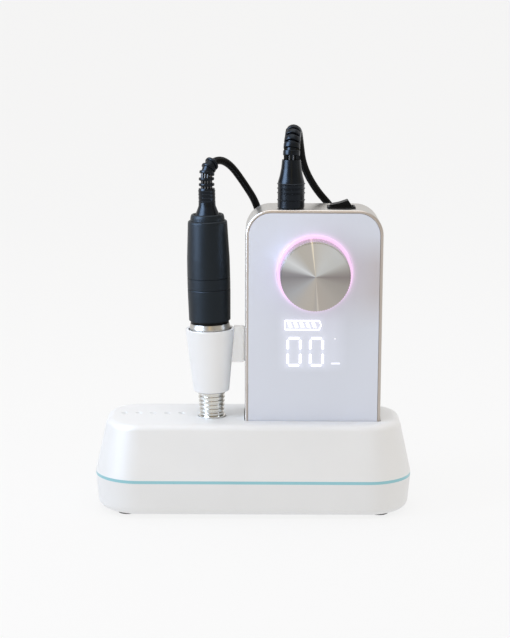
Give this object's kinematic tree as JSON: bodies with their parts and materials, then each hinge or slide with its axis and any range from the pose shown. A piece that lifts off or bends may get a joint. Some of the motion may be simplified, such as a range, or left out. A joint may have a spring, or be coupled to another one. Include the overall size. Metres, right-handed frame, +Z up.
{
  "type": "electric nail drill",
  "caption": "Battery nail drill: control unit with knob and display in a weighted stand, with a corded pen handpiece standing in a side holder cup.",
  "frame": {"origin": "on the table, under the middle of the stand", "axes": "+X to the right of a person facing the knob, +Y to the back, +Z up"},
  "size_m": [0.1764, 0.1308, 0.2142],
  "materials": {
    "stand_white": "satin moulded plastic with a very fine spark texture",
    "trim_teal": "smooth semi-gloss light teal plastic",
    "plated_steel": "zinc plated steel",
    "foot_rubber": "matt black rubber",
    "liner_black": "matt black moulded liner",
    "frame_champagne": "bead blasted anodised aluminium with a polished front edge",
    "panel_gloss": "glossy pale lavender-grey acrylic",
    "cover_white": "satin moulded plastic",
    "inner_plastic": "plain black moulded plastic",
    "board_green": "solder resist over fibreglass",
    "cell_wrap": "heat-shrink wrap",
    "display_white": "white light box behind the panel",
    "light_pink": "translucent light guide with pink light",
    "switch_black": "gloss black nylon",
    "socket_metal": "nickel plated",
    "holder_white": "semi-gloss white moulded plastic",
    "bracket_frost": "frosted translucent plastic",
    "pad_foam": "white foam tape",
    "knob_steel": "spun stainless steel, radial sheen on the face, fine teeth on the rim",
    "nose_chrome": "chrome plated, turned ribs",
    "collar_steel": "turned stainless steel",
    "neck_black": "semi-gloss black plastic",
    "motor_steel": "drawn steel",
    "handpiece_black": "matt black anodised and lacquered sleeve with a blue-grey sheen",
    "magnet_grey": "sintered magnet",
    "relief_rubber": "satin black flexible rubber",
    "cord_black": "satin black two-core jacket",
    "tie_black": "black hook-and-loop strap",
    "copper": "copper"
  },
  "bodies": {
    "stand": {"stand_upper_shell": "stand_white", "bit_sleeve_1": "stand_white", "bit_sleeve_2": "stand_white", "bit_sleeve_3": "stand_white", "bit_sleeve_4": "stand_white", "bit_sleeve_5": "stand_white", "stand_trim_ring": "trim_teal", "stand_base_tray": "stand_white", "stand_ballast_plate": "plated_steel", "stand_feet": "foot_rubber", "stand_screws": "plated_steel", "unit_slot_liner": "liner_black"},
    "control_unit": {"unit_frame": "frame_champagne", "front_panel": "panel_gloss", "rear_cover": "cover_white", "cover_posts": "inner_plastic", "rear_cover_screws": "plated_steel", "circuit_board": "board_green", "battery_cells": "cell_wrap", "battery_cradle": "inner_plastic", "display_module": "display_white", "speed_encoder": "plated_steel", "knob_light_guide": "light_pink", "switch_housing": "switch_black", "rocker_pin": "plated_steel", "handpiece_socket": "socket_metal", "charging_jack": "switch_black", "holder_cup": "holder_white", "holder_bracket": "bracket_frost", "holder_adhesive_pad": "pad_foam"},
    "speed_knob": {"knob_cap": "knob_steel", "knob_core": "inner_plastic", "encoder_shaft": "plated_steel"},
    "power_rocker": {"rocker_button": "switch_black"},
    "handpiece": {"nose_cone": "nose_chrome", "front_collar": "collar_steel", "neck_ring": "neck_black", "chuck_tube": "motor_steel", "housing_band": "handpiece_black", "motor_housing": "handpiece_black", "rear_cap": "handpiece_black", "motor_can": "motor_steel", "motor_magnets": "magnet_grey", "spindle_bearings": "motor_steel", "collet_spring": "plated_steel", "handpiece_strain_relief": "relief_rubber", "plug_body": "relief_rubber", "plug_contact": "socket_metal", "plug_strain_relief": "relief_rubber", "handpiece_cord": "cord_black", "plug_cord": "cord_black", "cord_coil": "cord_black", "cord_tie": "tie_black"},
    "lock_sleeve": {"twist_lock_sleeve": "handpiece_black"},
    "collet_pusher": {"push_ring": "motor_steel"},
    "rotor": {"spindle": "motor_steel", "collet": "collar_steel", "rotor_core": "motor_steel", "commutator": "copper"}
  },
  "joints": [
    {"name": "unit_lift", "type": "slide", "parent": "stand", "child": "control_unit", "axis": [0, 0, 1], "range_m": [0, 0.06]},
    {"name": "handpiece_lift", "type": "slide", "parent": "control_unit", "child": "handpiece", "axis": [0, 0, 1], "range_m": [0, 0.06]},
    {"name": "speed_knob_turn", "type": "hinge", "parent": "control_unit", "child": "speed_knob", "pos_m": [0.033, -0.016, 0.13525], "axis": [0, 1, 0], "range_deg": [0, 300]},
    {"name": "power_rock", "type": "hinge", "parent": "control_unit", "child": "power_rocker", "pos_m": [0.0475, -0.0045, 0.1683], "axis": [0, 1, 0], "range_deg": [0, 30]},
    {"name": "lock_turn", "type": "hinge", "parent": "handpiece", "child": "lock_sleeve", "pos_m": [-0.0232, -0.004, 0.0512], "axis": [-0.0227, 0, 0.9997], "range_deg": [0, 60.5]},
    {"name": "chuck_push", "type": "slide", "parent": "handpiece", "child": "collet_pusher", "axis": [0.0227, 0, -0.9997], "range_m": [0, 0.0012], "deforming": ["collet_spring"]},
    {"name": "rotor_spin", "type": "hinge", "parent": "handpiece", "child": "rotor", "pos_m": [-0.0232, -0.004, 0.0512], "axis": [-0.0227, 0, 0.9997], "continuous": true}
  ],
  "couplings": [
    {"joint": "lock_turn", "follows": "chuck_push", "rad_per_m": 872.66}
  ]
}
